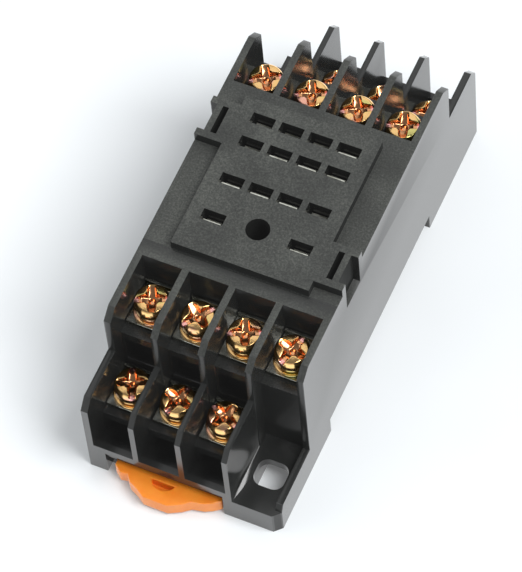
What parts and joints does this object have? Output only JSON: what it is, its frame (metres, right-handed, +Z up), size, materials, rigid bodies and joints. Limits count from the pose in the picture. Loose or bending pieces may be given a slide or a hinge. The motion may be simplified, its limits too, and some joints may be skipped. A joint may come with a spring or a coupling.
{
  "type": "relay socket",
  "caption": "Long black relay socket with stepped rows of screw terminals at both ends, blade slots in a raised seat and an orange rail clip.",
  "frame": {"origin": "centre of the housing's base, in the plane of the mounting surface", "axes": "+X to the right across the housing, +Y along it from the clip end to the rear end, +Z up from the mounting surface towards the relay seat"},
  "size_m": [0.0296, 0.0753, 0.0286],
  "materials": {
    "black_plastic": "satin",
    "orange_plastic": "satin",
    "tinned_brass": "satin",
    "yellow_zinc": "satin"
  },
  "bodies": {
    "root": {"housing": "black_plastic", "bottom_cover": "black_plastic", "terminal_01": "tinned_brass", "terminal_02": "tinned_brass", "terminal_03": "tinned_brass", "terminal_04": "tinned_brass", "terminal_05": "tinned_brass", "terminal_06": "tinned_brass", "terminal_07": "tinned_brass", "terminal_08": "tinned_brass", "terminal_09": "tinned_brass", "terminal_10": "tinned_brass", "terminal_11": "tinned_brass", "terminal_12": "tinned_brass", "terminal_13": "tinned_brass", "terminal_14": "tinned_brass"},
    "rail_clip": {"rail_clip": "orange_plastic"},
    "washers_01": {"flat_washer_01": "yellow_zinc", "spring_washer_01": "yellow_zinc"},
    "screw_01": {"terminal_screw_01": "yellow_zinc"},
    "washers_02": {"flat_washer_02": "yellow_zinc", "spring_washer_02": "yellow_zinc"},
    "screw_02": {"terminal_screw_02": "yellow_zinc"},
    "washers_03": {"flat_washer_03": "yellow_zinc", "spring_washer_03": "yellow_zinc"},
    "screw_03": {"terminal_screw_03": "yellow_zinc"},
    "washers_04": {"flat_washer_04": "yellow_zinc", "spring_washer_04": "yellow_zinc"},
    "screw_04": {"terminal_screw_04": "yellow_zinc"},
    "washers_05": {"flat_washer_05": "yellow_zinc", "spring_washer_05": "yellow_zinc"},
    "screw_05": {"terminal_screw_05": "yellow_zinc"},
    "washers_06": {"flat_washer_06": "yellow_zinc", "spring_washer_06": "yellow_zinc"},
    "screw_06": {"terminal_screw_06": "yellow_zinc"},
    "washers_07": {"flat_washer_07": "yellow_zinc", "spring_washer_07": "yellow_zinc"},
    "screw_07": {"terminal_screw_07": "yellow_zinc"},
    "washers_08": {"flat_washer_08": "yellow_zinc", "spring_washer_08": "yellow_zinc"},
    "screw_08": {"terminal_screw_08": "yellow_zinc"},
    "washers_09": {"flat_washer_09": "yellow_zinc", "spring_washer_09": "yellow_zinc"},
    "screw_09": {"terminal_screw_09": "yellow_zinc"},
    "washers_10": {"flat_washer_10": "yellow_zinc", "spring_washer_10": "yellow_zinc"},
    "screw_10": {"terminal_screw_10": "yellow_zinc"},
    "washers_11": {"flat_washer_11": "yellow_zinc", "spring_washer_11": "yellow_zinc"},
    "screw_11": {"terminal_screw_11": "yellow_zinc"},
    "washers_12": {"flat_washer_12": "yellow_zinc", "spring_washer_12": "yellow_zinc"},
    "screw_12": {"terminal_screw_12": "yellow_zinc"},
    "washers_13": {"flat_washer_13": "yellow_zinc", "spring_washer_13": "yellow_zinc"},
    "screw_13": {"terminal_screw_13": "yellow_zinc"},
    "washers_14": {"flat_washer_14": "yellow_zinc", "spring_washer_14": "yellow_zinc"},
    "screw_14": {"terminal_screw_14": "yellow_zinc"}
  },
  "joints": [
    {"name": "rail_clip_slide", "type": "slide", "parent": "root", "child": "rail_clip", "axis": [0, -1, 0], "range_m": [0, 0.003], "stiffness_N_per_m": 600, "springref_m": -0.002},
    {"name": "washers_01_lift", "type": "slide", "parent": "root", "child": "washers_01", "axis": [0, 0, 1], "range_m": [0, 0.0025]},
    {"name": "screw_01_turn", "type": "hinge", "parent": "washers_01", "child": "screw_01", "pos_m": [0.01067, 0.01965, 0.0203], "axis": [0, 0, 1], "range_deg": [0, 1800.6]},
    {"name": "washers_02_lift", "type": "slide", "parent": "root", "child": "washers_02", "axis": [0, 0, 1], "range_m": [0, 0.0025]},
    {"name": "screw_02_turn", "type": "hinge", "parent": "washers_02", "child": "screw_02", "pos_m": [0.00356, 0.01965, 0.0203], "axis": [0, 0, 1], "range_deg": [0, 1800.6]},
    {"name": "washers_03_lift", "type": "slide", "parent": "root", "child": "washers_03", "axis": [0, 0, 1], "range_m": [0, 0.0025]},
    {"name": "screw_03_turn", "type": "hinge", "parent": "washers_03", "child": "screw_03", "pos_m": [-0.00356, 0.01965, 0.0203], "axis": [0, 0, 1], "range_deg": [0, 1800.6]},
    {"name": "washers_04_lift", "type": "slide", "parent": "root", "child": "washers_04", "axis": [0, 0, 1], "range_m": [0, 0.0025]},
    {"name": "screw_04_turn", "type": "hinge", "parent": "washers_04", "child": "screw_04", "pos_m": [-0.01067, 0.01965, 0.0203], "axis": [0, 0, 1], "range_deg": [0, 1800.6]},
    {"name": "washers_05_lift", "type": "slide", "parent": "root", "child": "washers_05", "axis": [0, 0, 1], "range_m": [0, 0.0025]},
    {"name": "screw_05_turn", "type": "hinge", "parent": "washers_05", "child": "screw_05", "pos_m": [0.01067, 0.02815, 0.01065], "axis": [0, 0, 1], "range_deg": [0, 1800.6]},
    {"name": "washers_06_lift", "type": "slide", "parent": "root", "child": "washers_06", "axis": [0, 0, 1], "range_m": [0, 0.0025]},
    {"name": "screw_06_turn", "type": "hinge", "parent": "washers_06", "child": "screw_06", "pos_m": [0.00356, 0.02815, 0.01065], "axis": [0, 0, 1], "range_deg": [0, 1800.6]},
    {"name": "washers_07_lift", "type": "slide", "parent": "root", "child": "washers_07", "axis": [0, 0, 1], "range_m": [0, 0.0025]},
    {"name": "screw_07_turn", "type": "hinge", "parent": "washers_07", "child": "screw_07", "pos_m": [-0.00356, 0.02815, 0.01065], "axis": [0, 0, 1], "range_deg": [0, 1800.6]},
    {"name": "washers_08_lift", "type": "slide", "parent": "root", "child": "washers_08", "axis": [0, 0, 1], "range_m": [0, 0.0025]},
    {"name": "screw_08_turn", "type": "hinge", "parent": "washers_08", "child": "screw_08", "pos_m": [-0.01067, -0.02815, 0.01065], "axis": [0, 0, 1], "range_deg": [0, 1800.6]},
    {"name": "washers_09_lift", "type": "slide", "parent": "root", "child": "washers_09", "axis": [0, 0, 1], "range_m": [0, 0.0025]},
    {"name": "screw_09_turn", "type": "hinge", "parent": "washers_09", "child": "screw_09", "pos_m": [0.01067, -0.01965, 0.0203], "axis": [0, 0, 1], "range_deg": [0, 1800.6]},
    {"name": "washers_10_lift", "type": "slide", "parent": "root", "child": "washers_10", "axis": [0, 0, 1], "range_m": [0, 0.0025]},
    {"name": "screw_10_turn", "type": "hinge", "parent": "washers_10", "child": "screw_10", "pos_m": [0.00356, -0.01965, 0.0203], "axis": [0, 0, 1], "range_deg": [0, 1800.6]},
    {"name": "washers_11_lift", "type": "slide", "parent": "root", "child": "washers_11", "axis": [0, 0, 1], "range_m": [0, 0.0025]},
    {"name": "screw_11_turn", "type": "hinge", "parent": "washers_11", "child": "screw_11", "pos_m": [-0.00356, -0.01965, 0.0203], "axis": [0, 0, 1], "range_deg": [0, 1800.6]},
    {"name": "washers_12_lift", "type": "slide", "parent": "root", "child": "washers_12", "axis": [0, 0, 1], "range_m": [0, 0.0025]},
    {"name": "screw_12_turn", "type": "hinge", "parent": "washers_12", "child": "screw_12", "pos_m": [-0.01067, -0.01965, 0.0203], "axis": [0, 0, 1], "range_deg": [0, 1800.6]},
    {"name": "washers_13_lift", "type": "slide", "parent": "root", "child": "washers_13", "axis": [0, 0, 1], "range_m": [0, 0.0025]},
    {"name": "screw_13_turn", "type": "hinge", "parent": "washers_13", "child": "screw_13", "pos_m": [0.00356, -0.02815, 0.01065], "axis": [0, 0, 1], "range_deg": [0, 1800.6]},
    {"name": "washers_14_lift", "type": "slide", "parent": "root", "child": "washers_14", "axis": [0, 0, 1], "range_m": [0, 0.0025]},
    {"name": "screw_14_turn", "type": "hinge", "parent": "washers_14", "child": "screw_14", "pos_m": [-0.00356, -0.02815, 0.01065], "axis": [0, 0, 1], "range_deg": [0, 1800.6]}
  ],
  "couplings": [
    {"joint": "screw_01_turn", "follows": "washers_01_lift", "rad_per_m": 12566},
    {"joint": "screw_02_turn", "follows": "washers_02_lift", "rad_per_m": 12566},
    {"joint": "screw_03_turn", "follows": "washers_03_lift", "rad_per_m": 12566},
    {"joint": "screw_04_turn", "follows": "washers_04_lift", "rad_per_m": 12566},
    {"joint": "screw_05_turn", "follows": "washers_05_lift", "rad_per_m": 12566},
    {"joint": "screw_06_turn", "follows": "washers_06_lift", "rad_per_m": 12566},
    {"joint": "screw_07_turn", "follows": "washers_07_lift", "rad_per_m": 12566},
    {"joint": "screw_08_turn", "follows": "washers_08_lift", "rad_per_m": 12566},
    {"joint": "screw_09_turn", "follows": "washers_09_lift", "rad_per_m": 12566},
    {"joint": "screw_10_turn", "follows": "washers_10_lift", "rad_per_m": 12566},
    {"joint": "screw_11_turn", "follows": "washers_11_lift", "rad_per_m": 12566},
    {"joint": "screw_12_turn", "follows": "washers_12_lift", "rad_per_m": 12566},
    {"joint": "screw_13_turn", "follows": "washers_13_lift", "rad_per_m": 12566},
    {"joint": "screw_14_turn", "follows": "washers_14_lift", "rad_per_m": 12566}
  ]
}
